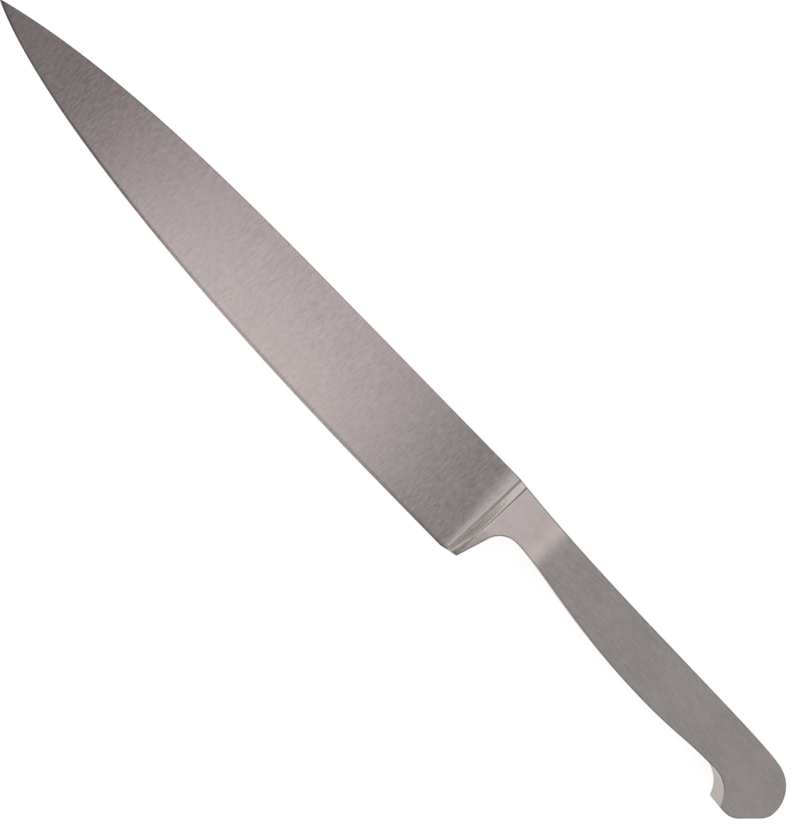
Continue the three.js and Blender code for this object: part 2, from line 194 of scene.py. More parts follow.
# Outline of the knife
TIP = at(-BLADE_LENGTH, -TIP_DEPTH)
SPINE_CURVE = fair_curve(
    TIP + at(0, TIP_WIDTH / 2), SPINE_TIP_SLOPE, SPINE_TIP_PULL,
    at(-SPINE_STRAIGHT, 0), 0, SPINE_STRAIGHT_PULL,
)
EDGE_CURVE = fair_curve(
    TIP - at(0, TIP_WIDTH / 2), -EDGE_TIP_SLOPE, EDGE_TIP_PULL,
    at(-EDGE_STRAIGHT, -BLADE_HEIGHT), 0, EDGE_STRAIGHT_PULL,
)
HEEL = at(HEEL_SETBACK, HEEL_RISE - BLADE_HEIGHT)
NECK = at(NECK_SETBACK, -NECK_DEPTH)
BULGE = at(BULGE_SETBACK, -BULGE_DEPTH)
JOINT_X = NECK_SETBACK + JOINT_BEHIND_NECK

GUARD_CENTRE = NECK - at(0, GUARD_RADIUS)
GUARD_TO_HEEL = HEEL - GUARD_CENTRE
GUARD_ARC_START = (
    atan2(GUARD_TO_HEEL[1], GUARD_TO_HEEL[0]) % (2 * pi)
    - acos(GUARD_RADIUS / hypot(*GUARD_TO_HEEL))
)

BUTT_CENTRE = at(HANDLE_LENGTH - BUTT_RADIUS, -BUTT_DEPTH - BUTT_RADIUS)
TOP_END_ANGLE = pi / 2 - TOP_END_SLOPE
TOP_END = polar(BUTT_CENTRE, BUTT_RADIUS, TOP_END_ANGLE)
BEAK_ANGLE = -pi / 2 - BEAK_LEAN
BEAK = polar(BUTT_CENTRE, BUTT_RADIUS, BEAK_ANGLE)
APEX_ANGLE = (TOP_END_ANGLE + BEAK_ANGLE) / 2

TANG_HALF = TANG_THICKNESS / 2
SCALE_FLOOR = TANG_HALF + FOIL_THICKNESS

HOOK_CENTRE_Y = -HOOK_DEPTH - HOOK_RADIUS
HOOK_REACH = sqrt(HOOK_RADIUS**2 - (BEAK[1] - HOOK_CENTRE_Y) ** 2)
HOOK_CENTRE = at(BEAK[0] - HOOK_REACH, HOOK_CENTRE_Y)
HOOK_ROOT = at(HOOK_CENTRE[0], -HOOK_DEPTH)
HOOK_END_ANGLE = atan2(BEAK[1] - HOOK_CENTRE_Y, HOOK_REACH)

TOP_LINE = fair_curve(
    at(0, 0), -TOP_SLOPE, TOP_PULL, TOP_END, -TOP_END_SLOPE, TOP_END_PULL
)
FRONT_BELLY = fair_curve(NECK, 0, NECK_PULL, BULGE, 0, BULGE_FRONT_PULL)
REAR_BELLY = fair_curve(BULGE, 0, BULGE_REAR_PULL, HOOK_ROOT, 0, HOOK_PULL)


def spine_y(x):
    return np.where(
        x < -SPINE_STRAIGHT,
        height_at(SPINE_CURVE, x),
        np.where(x < 0, 0, height_at(TOP_LINE, x)),
    )


def edge_y(x):
    lifted = mix(-BLADE_HEIGHT, HEEL[1], progress(x, -EDGE_END, HEEL[0]))
    return np.where(x < -EDGE_STRAIGHT, height_at(EDGE_CURVE, x), lifted)


def belly_y(x):
    return np.where(x < BULGE[0], height_at(FRONT_BELLY, x), height_at(REAR_BELLY, x))


# Lines of the bolster: its crest, and where its fillet starts
KNEE_SHARE = KNEE_DEPTH / BLADE_HEIGHT
CREST_KNEE_X = -CREST_LEAN * KNEE_SHARE
FILLET_KNEE_X = mix(-FILLET_LENGTH, -EDGE_END, KNEE_SHARE)
FILLET_FOOT_LENGTH = EDGE_END - CREST_LEAN


# Half thicknesses
def ease_limit(x):
    return TIP_EASE_SHARE * (spine_y(x) - edge_y(x))


def bevel_height(x):
    return np.minimum(BEVEL_HEIGHT, ease_limit(x))


def blade_half(x, y):
    spine_thickness = mix(TIP_THICKNESS, SPINE_THICKNESS, progress(x, -BLADE_LENGTH, 0))
    rise = progress(y, edge_y(x) + bevel_height(x), spine_y(x))
    return mix(EDGE_THICKNESS, spine_thickness, rise) / 2


def shoulder_half(y):
    fall = progress(y, -KNEE_DEPTH, -BLADE_HEIGHT) ** HEEL_FALL_POWER
    return mix(SHOULDER_THICKNESS, HEEL_THICKNESS, fall) / 2


def fillet_share(y):
    """Share of the fillet's length at the spine that is left at a height."""
    return mix(1, FILLET_FOOT_LENGTH / FILLET_LENGTH, progress(y, 0, -BLADE_HEIGHT))


def ramp_rise(x):
    rise = (HANDLE_THICKNESS - SHOULDER_THICKNESS) / 2
    straight = RAMP_END_SETBACK - RAMP_BLEND - SHOULDER_SETBACK
    run = np.clip(x - SHOULDER_SETBACK, 0, straight + RAMP_BLEND)
    bend = np.maximum(0, run - straight)
    slope = rise / (straight + RAMP_BLEND / 2)
    return slope * (run - bend**2 / (2 * RAMP_BLEND))


def handle_half(x, y):
    return SHOULDER_THICKNESS / 2 + ramp_rise(x)


class Column:
    """A line across the knife's side from the spine to the edge or belly, over a knee.

    Near the beak, the rounds of both its sides end at one mitre.
    """

    def __init__(self, top, foot, half, top_round, foot_round, knee=None, bevel=0):
        self.top = top
        self.foot = foot
        self.half = half
        self.top_round = top_round
        self.foot_round = foot_round
        self.knee = knee
        self.bevel = bevel
        self.top_inward = None
        self.foot_inward = None
        self.foot_mitre = None


def blade_column(run):
    x = mix(-BLADE_LENGTH, -FILLET_LENGTH, run)
    foot_x = mix(-BLADE_LENGTH, -EDGE_END, run)
    top = at(x, spine_y(x))
    foot = at(foot_x, edge_y(foot_x))
    knee = mix(top, foot, KNEE_SHARE)
    top_round = min(SPINE_EASE, float(ease_limit(x)))
    return Column(top, foot, blade_half, top_round, 0, knee, 1)


GUARD_START = polar(GUARD_CENTRE, GUARD_RADIUS, GUARD_ARC_START)
GUARD_BACK = hypot(*(GUARD_START - HEEL))
GUARD_ARC = GUARD_RADIUS * (GUARD_ARC_START - pi / 2)


def guard_foot(run):
    """Place along the finger guard, from the shoulder's foot over the heel up to the neck."""
    shoulder_foot = at(SHOULDER_FOOT_SETBACK, edge_y(SHOULDER_FOOT_SETBACK))
    lift = hypot(*(HEEL - shoulder_foot))
    gone = run * (lift + GUARD_BACK + GUARD_ARC + JOINT_BEHIND_NECK)
    if gone < lift:
        return mix(shoulder_foot, HEEL, gone / lift)
    gone -= lift
    if gone < GUARD_BACK:
        return mix(HEEL, GUARD_START, gone / GUARD_BACK)
    gone -= GUARD_BACK
    if gone < GUARD_ARC:
        return polar(GUARD_CENTRE, GUARD_RADIUS, GUARD_ARC_START - gone / GUARD_RADIUS)
    x = NECK[0] + gone - GUARD_ARC
    return at(x, belly_y(x))


def fillet_column(x):
    run = progress(x, -FILLET_LENGTH, 0)
    foot_x = mix(-EDGE_END, -CREST_LEAN, run)
    knee = at(mix(FILLET_KNEE_X, CREST_KNEE_X, run), -KNEE_DEPTH)

    def half(px, py):
        return blade_half(px, py) + CREST_RISE * fillet_share(py) * run**FILLET_POWER

    bevel = 1 - progress(foot_x, -EDGE_END, HEEL[0])
    top_round = mix(SPINE_EASE, BOLSTER_ROUND, run)
    return Column(
        at(x, spine_y(x)), at(foot_x, edge_y(foot_x)), half, top_round, BOLSTER_ROUND, knee, bevel
    )


def groove_column(x):
    foot_x = mix(-CREST_LEAN, SHOULDER_FOOT_SETBACK, progress(x, 0, SHOULDER_SETBACK))
    lines = (0, GROOVE_SETBACK, SHOULDER_SETBACK)
    knee_lines = (CREST_KNEE_X, GROOVE_KNEE_SETBACK, SHOULDER_KNEE_SETBACK)
    knee = at(np.interp(x, lines, knee_lines), -KNEE_DEPTH)

    def half(px, py):
        rise = CREST_RISE - GROOVE_DEPTH * progress(x, 0, GROOVE_SETBACK)
        floor = blade_half(px, py) + rise * fillet_share(py)
        return mix(floor, shoulder_half(py), progress(x, GROOVE_SETBACK, SHOULDER_SETBACK))

    bevel = 1 - progress(foot_x, -EDGE_END, HEEL[0])
    return Column(
        at(x, spine_y(x)), at(foot_x, edge_y(foot_x)), half,
        BOLSTER_ROUND, BOLSTER_ROUND, knee, bevel,
    )


def guard_column(x):
    run = progress(x, SHOULDER_SETBACK, JOINT_X)
    foot = guard_foot(run)
    knee_y = mix(-KNEE_DEPTH, -NECK_DEPTH / 2, run)
    knee_lean = (SHOULDER_SETBACK - SHOULDER_KNEE_SETBACK) * (1 - run)
    knee = at(mix(x - knee_lean, foot[0], run / 2), knee_y)

    def half(px, py):
        return shoulder_half(py) + ramp_rise(px)

    edge_round = mix(BOLSTER_ROUND, HANDLE_ROUND, run)
    bevel = 1 - progress(foot[0], -EDGE_END, HEEL[0]) if foot[1] < HEEL[1] else 0
    return Column(at(x, spine_y(x)), foot, half, edge_round, edge_round, knee, bevel)


def bolster_column(x):
    if x <= 0:
        return fillet_column(x)
    return groove_column(x) if x <= SHOULDER_SETBACK else guard_column(x)


def handle_column(top, foot):
    return Column(top, foot, handle_half, HANDLE_ROUND, HANDLE_ROUND)


def square_column(x):
    """Column that lies wholly in the plane square to the knife at x."""
    column = handle_column(at(x, spine_y(x)), at(x, belly_y(x)))
    column.top_inward = at(0, -1)
    column.foot_inward = at(0, 1)
    return column


def top_behind_hook(run):
    line = TOP_END[0] - HOOK_ROOT[0]
    arc = BUTT_RADIUS * (TOP_END_ANGLE - APEX_ANGLE)
    distance = run * (line + arc)
    x = HOOK_ROOT[0] + distance
    if distance < line:
        return at(x, spine_y(x))
    return polar(BUTT_CENTRE, BUTT_RADIUS, mix(TOP_END_ANGLE, APEX_ANGLE, (distance - line) / arc))


def shares(count):
    return np.arange(1, count + 1) / count


# Creases of the bolster and the half width that each is softened over
CREASES = ((0, CREST_EASE), (GROOVE_SETBACK, CREST_EASE), (SHOULDER_SETBACK, SHOULDER_EASE))


def crease_ease(x):
    """Softening at a place: that of the nearest crease, if it reaches there."""
    place, ease = min(CREASES, key=lambda crease: abs(x - crease[0]))
    return ease if abs(x - place) < 2 * ease else 0


def bolster_places():
    """Where columns stand across the bolster, crowded at its creases."""
    steps = np.linspace(-1, 1, 2 * CREASE_CROWDING + 1)
    crowd = [x + ease * step for x, ease in CREASES for step in steps]
    fillet = np.linspace(-FILLET_LENGTH, 0, FILLET_COLUMNS + 1)[1:-1]
    groove = np.linspace(0, SHOULDER_SETBACK, GROOVE_COLUMNS + 1)[1:-1]
    guard = np.linspace(SHOULDER_SETBACK, JOINT_X, GUARD_COLUMNS + 1)[1:-1]
    plain = [
        x for x in (*fillet, *groove, *guard)
        if all(abs(x - crease) > ease * (1 + 1 / CREASE_CROWDING) for crease, ease in CREASES)
    ]
    return sorted([*crowd, *plain])


def butt_foot(angle):
    """Place on the round butt, whose lower corner is cut a little flat."""
    near = np.linspace(angle - BUTT_FLAT_EASE, angle + BUTT_FLAT_EASE, CREASE_SAMPLES)
    flat = (BUTT_RADIUS - BUTT_FLAT_CUT) / np.cos(near - BUTT_FLAT_ANGLE)
    return polar(BUTT_CENTRE, np.minimum(BUTT_RADIUS, flat).mean(), angle)


def set_beak_mitre(columns):
    """Lets the rounds on both sides of the beak end where they meet."""
    before = at(-sin(HOOK_END_ANGLE), cos(HOOK_END_ANGLE))
    after = at(-sin(BEAK_ANGLE), cos(BEAK_ANGLE))
    half_corner = acos(before @ after) / 2
    bisector = (before + after) / hypot(*(before + after))
    mitre = BEAK + bisector * HANDLE_ROUND / sin(half_corner)
    for column in columns:
        if hypot(*(column.foot - BEAK)) < HANDLE_ROUND / tan(half_corner):
            column.foot_mitre = mitre


def handle_columns():
    front = mix(JOINT_X, BULGE[0], shares(FRONT_BELLY_COLUMNS))
    rear = mix(BULGE[0], HOOK_ROOT[0], shares(REAR_BELLY_COLUMNS))
    belly = [handle_column(at(x, spine_y(x)), at(x, belly_y(x))) for x in (*front, *rear)]
    hook = [
        polar(HOOK_CENTRE, HOOK_RADIUS, mix(pi / 2, HOOK_END_ANGLE, run))
        for run in shares(HOOK_COLUMNS)
    ]
    butt = [butt_foot(mix(BEAK_ANGLE, APEX_ANGLE, run)) for run in shares(BUTT_COLUMNS)]
    feet = [*hook, *butt]
    fan = [
        handle_column(top_behind_hook((step + 1) / len(feet)), foot)
        for step, foot in enumerate(feet)
    ]
    fan[-1].top_inward = fan[-1].foot_inward = polar(at(0, 0), -1, APEX_ANGLE)
    set_beak_mitre(fan)
    return [square_column(JOINT_X), *belly, *fan]


def inward_directions(points, side):
    along = np.gradient(np.array(points), axis=0)
    along /= np.linalg.norm(along, axis=1)[:, None]
    return np.stack([along[:, 1] * side, -along[:, 0] * side], axis=1)


def edge_points(column, outline, inward, edge_round, bevel, mitre=None):
    """Points of one edge, from the outline inwards: a quarter round, a bevel, or between them."""
    radius = min(edge_round, float(column.half(*outline)) / 2)
    reach = mix(radius, float(bevel_height(outline[0])), bevel)
    inner = outline + inward * reach if mitre is None else mitre
    half = float(column.half(*inner))
    wall = mix(half - radius, EDGE_LAND / 2, bevel)
    run = np.arange(ROUND_STEPS + 1) / ROUND_STEPS
    inset = mix(1 - np.cos(run * pi / 2), run, bevel)
    rise = mix(np.sin(run * pi / 2), run, bevel)
    place = mix(outline, inner, inset[:, None])
    return np.column_stack([place, mix(wall, half, rise)])


def side_points(column, start, end):
    """Places between the two edges, on a line that bends softly at the knee."""
    knee = (start + end) / 2 if column.knee is None else column.knee
    run = np.linspace(0, 1, SIDE_STEPS + 1)
    bend = np.clip(run * 2, 0, 1)[:, None]
    rest = np.clip(run * 2 - 1, 0, 1)[:, None]
    line = np.where(run[:, None] < 0.5, mix(start, knee, bend), mix(knee, end, rest))
    for _ in range(KNEE_SOFTENINGS):
        line[1:-1] = (line[:-2] + 2 * line[1:-1] + line[2:]) / 4
    return line[1:-1]


def column_points(column, top_inward, foot_inward):
    top_edge = edge_points(column, column.top, top_inward, column.top_round, 0)
    foot_edge = edge_points(
        column, column.foot, foot_inward, column.foot_round, column.bevel, column.foot_mitre
    )
    side = side_points(column, top_edge[-1, :2], foot_edge[-1, :2])
    half = column.half(side[:, 0], side[:, 1])
    return np.vstack([top_edge, np.column_stack([side, half]), foot_edge[::-1]])


def sections_of(columns):
    top_inward = inward_directions([column.top for column in columns], 1)
    foot_inward = inward_directions([column.foot for column in columns], -1)
    sections = []
    for column, top, foot in zip(columns, top_inward, foot_inward):
        top = top if column.top_inward is None else column.top_inward
        foot = foot if column.foot_inward is None else column.foot_inward
        sections.append(column_points(column, top, foot))
    return sections


def bolster_sections():
    """Sections across the bolster, with every crease softened by a small round."""
    places = np.array(bolster_places())
    shifted = [
        sections_of([bolster_column(min(x + shift * crease_ease(x), JOINT_X)) for x in places])
        for shift in np.linspace(-1, 1, CREASE_SAMPLES)
    ]
    middle = shifted[CREASE_SAMPLES // 2]
    heights = np.mean([[section[:, 2] for section in sections] for sections in shifted], axis=0)
    return [np.column_stack([section[:, :2], height]) for section, height in zip(middle, heights)]


HANDLE_SECTIONS = sections_of(handle_columns())


def blade_sections():
    crowded = np.concatenate([[0], shares(BLADE_COLUMNS)]) ** TIP_CROWDING
    return sections_of([blade_column(run) for run in crowded])


# Meshes
def rub_weights(rows):
    """How much hands and cloths rub each row of a side: most on its two edges."""
    from_edge = np.minimum(np.arange(rows), np.arange(rows)[::-1])
    return np.clip(RUB_REACH - from_edge / ROUND_STEPS, 0, 1)


def loft_faces(columns, rows):
    """Quads between two skins, the upper numbered before the lower, and the column of each."""
    def corner(skin, column, row):
        return (skin * columns + column) * rows + row

    def quad(column, places):
        faces.append([corner(*place) for place in places])
        column_of_face.append(column)

    faces, column_of_face = [], []
    last = rows - 1
    for i in range(columns - 1):
        k = i + 1
        for j in range(last):
            quad(i, [(0, i, j), (0, i, j + 1), (0, k, j + 1), (0, k, j)])
            quad(i, [(1, i, j), (1, k, j), (1, k, j + 1), (1, i, j + 1)])
        quad(i, [(0, i, 0), (0, k, 0), (1, k, 0), (1, i, 0)])
        quad(i, [(0, i, last), (1, i, last), (1, k, last), (0, k, last)])
    for j in range(last):
        quad(0, [(0, 0, j), (1, 0, j), (1, 0, j + 1), (0, 0, j + 1)])
    return faces, column_of_face


def weld(mesh):
    """Joins the points where sections fold onto themselves, and turns all faces outwards."""
    work = bmesh.new()
    work.from_mesh(mesh)
    bmesh.ops.remove_doubles(work, verts=work.verts, dist=WELD_DISTANCE)
    bmesh.ops.recalc_face_normals(work, faces=work.faces)
    work.to_mesh(mesh)
    work.free()


def loft_body(name, sections, upper, lower, finishes, second_from=0):
    """Body between two heights over the same sections. A second finish starts at a column."""
    place = np.array(sections)
    columns, rows = place.shape[:2]
    skins = []
    for height in (upper, lower):
        skin = place.copy()
        skin[..., 2] = height(place[..., 2])
        skins.append(skin.reshape(-1, 3))
    points = (np.vstack(skins) + KNIFE_PLACE) * MM
    faces, column_of_face = loft_faces(columns, rows)
    mesh = bpy.data.meshes.new(name)
    mesh.from_pydata(points.tolist(), [], faces)
    for finish in finishes:
        mesh.materials.append(finish)
    if second_from:
        second = np.array(column_of_face) >= second_from
        mesh.polygons.foreach_set("material_index", second.astype(np.int32))
    rub = mesh.attributes.new("edge_rub", "FLOAT", "POINT")
    rub.data.foreach_set("value", np.tile(rub_weights(rows), columns * 2).astype(np.float32))
    weld(mesh)
    body = bpy.data.objects.new(name, mesh)
    bpy.context.scene.collection.objects.link(body)
    return body


def level(height):
    return lambda half: np.full_like(half, height)


def outwards(half):
    return half


def downwards(half):
    return -half


def forged_blade():
    ahead = blade_sections()
    bolster = bolster_sections()
    joint = HANDLE_SECTIONS[0]
    tang = [np.column_stack([s[:, :2], np.full(len(s), TANG_HALF)]) for s in HANDLE_SECTIONS]
    crest = len(ahead) + sum(section[0, 0] < 0 for section in bolster)
    sections = [*ahead, *bolster, joint, *tang]
    return loft_body("forged_blade", sections, outwards, downwards, (CROSS_GROUND, SATIN), crest)


def bore_pin_holes(body):
    """Cuts the blind holes that the three dowel pins sit in."""
    cutters = []
    for name in PIN_NAMES:
        low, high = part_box(name)
        radius = (high.x - low.x) / 2 + PIN_CLEARANCE * MM
        depth = high.z - low.z + 2 * PIN_END_CLEARANCE * MM
        cutters.append(round_bar((low + high) / 2, radius, depth))
    for cutter in cutters:
        hole = body.modifiers.new("pin_hole", "BOOLEAN")
        hole.operation = "DIFFERENCE"
        hole.solver = "EXACT"
        hole.object = cutter
    graph = bpy.context.evaluated_depsgraph_get()
    bored = bpy.data.meshes.new_from_object(body.evaluated_get(graph))
    body.modifiers.clear()
    old = body.data
    body.data = bored
    bpy.data.meshes.remove(old)
    for cutter in cutters:
        bpy.data.meshes.remove(cutter.data)


def round_bar(centre, radius, depth):
    work = bmesh.new()
    bmesh.ops.create_cone(
        work, cap_ends=True, segments=PIN_SIDES, radius1=radius, radius2=radius, depth=depth
    )
    bmesh.ops.translate(work, verts=work.verts, vec=centre)
    mesh = bpy.data.meshes.new("bar")
    work.to_mesh(mesh)
    work.free()
    bar = bpy.data.objects.new("bar", mesh)
    bpy.context.scene.collection.objects.link(bar)
    return bar


# Finishes, with tones from dark to light
BLADE_TONES = ((0.29, 0.267, 0.2555), (0.5, 0.46, 0.4385))
BLADE_SCRATCH_TONE = (0.62, 0.58, 0.55, 1)
BLADE_RUB_TONE = (0.6, 0.57, 0.55, 1)
SATIN_TONES = ((0.379, 0.35, 0.333), (0.599, 0.553, 0.527))
SATIN_SCRATCH_TONE = (0.6, 0.57, 0.54, 1)
SATIN_RUB_TONE = (0.58, 0.55, 0.52, 1)
FILLER_TONES = ((0.38, 0.35, 0.3), (0.48, 0.45, 0.39))
PIN_TONES = ((0.36, 0.35, 0.34), (0.46, 0.45, 0.44))
GRAIN_HEIGHT = 0.01
# A scratch starts where a random value passes the top less the share, and is full after the fade
SCRATCH_TOP = 0.8
SCRATCH_FADE = 0.1


def add(tree, kind, values=None, **settings):
    """New node with its settings, and with values or other nodes' outputs on its inputs."""
    made = tree.nodes.new(kind)
    for name, value in settings.items():
        setattr(made, name, value)
    for name, value in (values or {}).items():
        if isinstance(value, bpy.types.NodeSocket):
            tree.links.new(value, made.inputs[name])
        else:
            made.inputs[name].default_value = value
    return made


# Node groups that the steels share
def start_group(name, inputs, outputs):
    tree = bpy.data.node_groups.new(name, "ShaderNodeTree")
    for label, value in inputs.items():
        socket = tree.interface.new_socket(label, in_out="INPUT", socket_type="NodeSocketFloat")
        socket.default_value = value
    for label in outputs:
        tree.interface.new_socket(label, in_out="OUTPUT", socket_type="NodeSocketFloat")
    return tree, tree.nodes.new("NodeGroupInput").outputs, tree.nodes.new("NodeGroupOutput").inputs


def sharpen(tree, value, contrast):
    """Spreads a value round a half and keeps it between nothing and one."""
    centred = add(tree, "ShaderNodeMath", {0: value, 1: 0.5}, operation="SUBTRACT").outputs[0]
    spread = add(tree, "ShaderNodeMath", {0: centred, 1: contrast}, operation="MULTIPLY").outputs[0]
    return add(
        tree, "ShaderNodeMath", {0: spread, 1: 0.5}, operation="ADD", use_clamp=True
    ).outputs[0]


def stretched_place(tree, turn, width, length):
    """Place on the knife, turned in its side's plane and counted in line widths and lengths."""
    place = add(tree, "ShaderNodeTexCoord").outputs["Object"]
    turned = add(
        tree, "ShaderNodeVectorRotate", {"Vector": place, "Angle": turn}, rotation_type="Z_AXIS"
    ).outputs[0]
    unit = add(tree, "ShaderNodeCombineXYZ", {"X": length, "Y": width, "Z": width}).outputs[0]
    metres = add(tree, "ShaderNodeVectorMath", {0: unit, "Scale": MM}, operation="SCALE").outputs[0]
    return add(tree, "ShaderNodeVectorMath", {0: turned, 1: metres}, operation="DIVIDE").outputs[0]


def uneven(tree, place, seed, scale=1.0, detail=2.0, roughness=0.5):
    """Random value that changes over the surface."""
    return add(
        tree, "ShaderNodeTexNoise",
        {"Vector": place, "W": seed, "Scale": scale, "Detail": detail, "Roughness": roughness},
        noise_dimensions="4D",
    ).outputs[0]


def grinding_lines():
    """Fine lines that a grinding belt leaves, with broader bands between them."""
    tree, inputs, outputs = start_group(
        "grinding_lines", {"Turn": 0, "Width": 0.3, "Length": 8, "Seed": 0}, ("Lines", "Bands")
    )
    place = stretched_place(tree, inputs["Turn"], inputs["Width"], inputs["Length"])
    fine = uneven(tree, place, inputs["Seed"], detail=3.0, roughness=0.62)
    broad = uneven(tree, place, inputs["Seed"], scale=0.23)
    tree.links.new(sharpen(tree, fine, contrast=2.4), outputs["Lines"])
    tree.links.new(sharpen(tree, broad, contrast=2.2), outputs["Bands"])
    return tree


def steel_clouds():
    """Slow changes of tone over a ground surface."""
    tree, inputs, outputs = start_group("steel_clouds", {"Size": 20, "Seed": 0}, ("Clouds",))
    place = stretched_place(tree, 0, inputs["Size"], inputs["Size"])
    clouds = uneven(tree, place, inputs["Seed"], roughness=0.45)
    tree.links.new(sharpen(tree, clouds, contrast=2.0), outputs["Clouds"])
    return tree


def stray_scratches():
    """A few longer hairlines among the grinding lines."""
    tree, inputs, outputs = start_group(
        "stray_scratches",
        {"Turn": 0, "Width": 0.12, "Length": 14, "Share": 0.3, "Seed": 0}, ("Scratches",),
    )
    place = stretched_place(tree, inputs["Turn"], inputs["Width"], inputs["Length"])
    hairs = uneven(tree, place, inputs["Seed"], detail=1.0)
    start = add(
        tree, "ShaderNodeMath", {0: SCRATCH_TOP, 1: inputs["Share"]}, operation="SUBTRACT"
    ).outputs[0]
    end = add(tree, "ShaderNodeMath", {0: start, 1: SCRATCH_FADE}, operation="ADD").outputs[0]
    marks = add(
        tree, "ShaderNodeMapRange", {"Value": hairs, "From Min": start, "From Max": end}
    )
    tree.links.new(marks.outputs[0], outputs["Scratches"])
    return tree


def rubbed_edges():
    """Where hands and cloths have polished the edges, broken up a little."""
    tree, inputs, outputs = start_group("rubbed_edges", {"Patch": 3, "Seed": 0}, ("Rub",))
    edge = add(tree, "ShaderNodeAttribute", attribute_name="edge_rub").outputs["Fac"]
    place = stretched_place(tree, 0, inputs["Patch"], inputs["Patch"])
    patches = sharpen(tree, uneven(tree, place, inputs["Seed"]), contrast=1.6)
    rub = add(tree, "ShaderNodeMath", {0: edge, 1: patches}, operation="MULTIPLY")
    tree.links.new(rub.outputs[0], outputs["Rub"])
    return tree


LINES, CLOUDS, SCRATCHES, RUB = (
    grinding_lines(), steel_clouds(), stray_scratches(), rubbed_edges()
)


def use(tree, group, **values):
    """Places a shared group in a material with the material's own values."""
    made = add(tree, "ShaderNodeGroup", node_tree=group)
    for name, value in values.items():
        made.inputs[name].default_value = value
    return made.outputs


def blend(tree, base, amount, colour):
    node = add(tree, "ShaderNodeMix", {"Factor": amount}, data_type="RGBA")
    under, over = [
        socket for socket in node.inputs if socket.enabled and socket.type == "RGBA"
    ]
    tree.links.new(base, under)
    over.default_value = colour
    return [socket for socket in node.outputs if socket.enabled][0]


def weigh(tree, *pairs):
    """Sum of values, each times its weight."""
    total = 0.0
    for value, weight in pairs:
        total = add(
            tree, "ShaderNodeMath", {0: value, 1: weight, 2: total}, operation="MULTIPLY_ADD"
        ).outputs[0]
    return total


def start_steel(name):
    material = bpy.data.materials.new(name)
    material.use_nodes = True
    tree = material.node_tree
    shader = tree.nodes["Principled BSDF"]
    shader.inputs["Metallic"].default_value = 1.0
    return material, tree, shader


def tone(tree, place, dark, light):
    ramp = add(tree, "ShaderNodeValToRGB", {"Fac": place})
    ramp.color_ramp.elements[0].color = (*dark, 1)
    ramp.color_ramp.elements[1].color = (*light, 1)
    return ramp.outputs["Color"]


def set_bump(tree, shader, height, strength, distance):
    bump = add(
        tree, "ShaderNodeBump", {"Height": height, "Strength": strength, "Distance": distance}
    )
    tree.links.new(bump.outputs["Normal"], shader.inputs["Normal"])


def painted_light_to_edge_and_bolster(tree):
    """Painted light on the blade: nothing at its spine, one at its edge and at the crest of the
    bolster.
    """
    place = add(tree, "ShaderNodeTexCoord").outputs["Object"]
    part = add(tree, "ShaderNodeSeparateXYZ", {0: place}).outputs
    crest, spine = KNIFE_PLACE[0] * MM, KNIFE_PLACE[1] * MM
    edge = add(
        tree, "ShaderNodeMapRange",
        {"Value": part["Y"], "From Min": spine, "From Max": spine - BLADE_HEIGHT * MM},
    ).outputs[0]
    bolster = add(
        tree, "ShaderNodeMapRange",
        {"Value": part["X"], "From Min": crest - BOLSTER_PAINTED_LIGHT_REACH * MM, "From Max": crest},
    ).outputs[0]
    return add(tree, "ShaderNodeMath", {0: edge, 1: bolster}, operation="MAXIMUM").outputs[0]


def cross_ground_steel():
    """Blade: lines from edge to spine, with painted light that makes it a little lighter towards
    the edge and the bolster.
    """
    material, tree, shader = start_steel("cross_ground_steel")
    lines = use(tree, LINES, Turn=pi / 2, Width=0.62, Length=2.3, Seed=1)
    clouds = use(tree, CLOUDS, Size=22, Seed=2)
    scratches = use(tree, SCRATCHES, Turn=pi / 2 + 0.06, Width=0.15, Length=12, Share=0.14, Seed=3)
    rub = use(tree, RUB, Patch=4, Seed=4)
    # Painted light: the tone is made lighter towards the blade's edge and towards the bolster's
    # crest
    shade = weigh(
        tree, (lines["Lines"], 0.66), (lines["Bands"], 0.08), (clouds["Clouds"], 0.09),
        (painted_light_to_edge_and_bolster(tree), 0.365), (1.0, -0.095),
    )
    colour = tone(tree, shade, *BLADE_TONES)
    colour = blend(tree, colour, weigh(tree, (scratches["Scratches"], 0.25)), BLADE_SCRATCH_TONE)
    colour = blend(tree, colour, weigh(tree, (rub["Rub"], 0.3)), BLADE_RUB_TONE)
    tree.links.new(colour, shader.inputs["Base Color"])
    roughness = weigh(
        tree, (lines["Lines"], 0.08), (clouds["Clouds"], 0.03), (rub["Rub"], -0.04), (1.0, 0.13)
    )
    tree.links.new(roughness, shader.inputs["Roughness"])
    set_bump(tree, shader, lines["Lines"], strength=0.18, distance=GRAIN_HEIGHT * MM)
    return material


def behind_bolster(tree):
    """Nothing on the bolster, one on the handle."""
    place = add(tree, "ShaderNodeTexCoord").outputs["Object"]
    along = add(tree, "ShaderNodeSeparateXYZ", {0: place}).outputs["X"]
    start, end = (KNIFE_PLACE[0] + setback for setback in (SHOULDER_SETBACK, NECK_SETBACK))
    return add(
        tree, "ShaderNodeMapRange", {"Value": along, "From Min": start * MM, "From Max": end * MM}
    ).outputs[0]


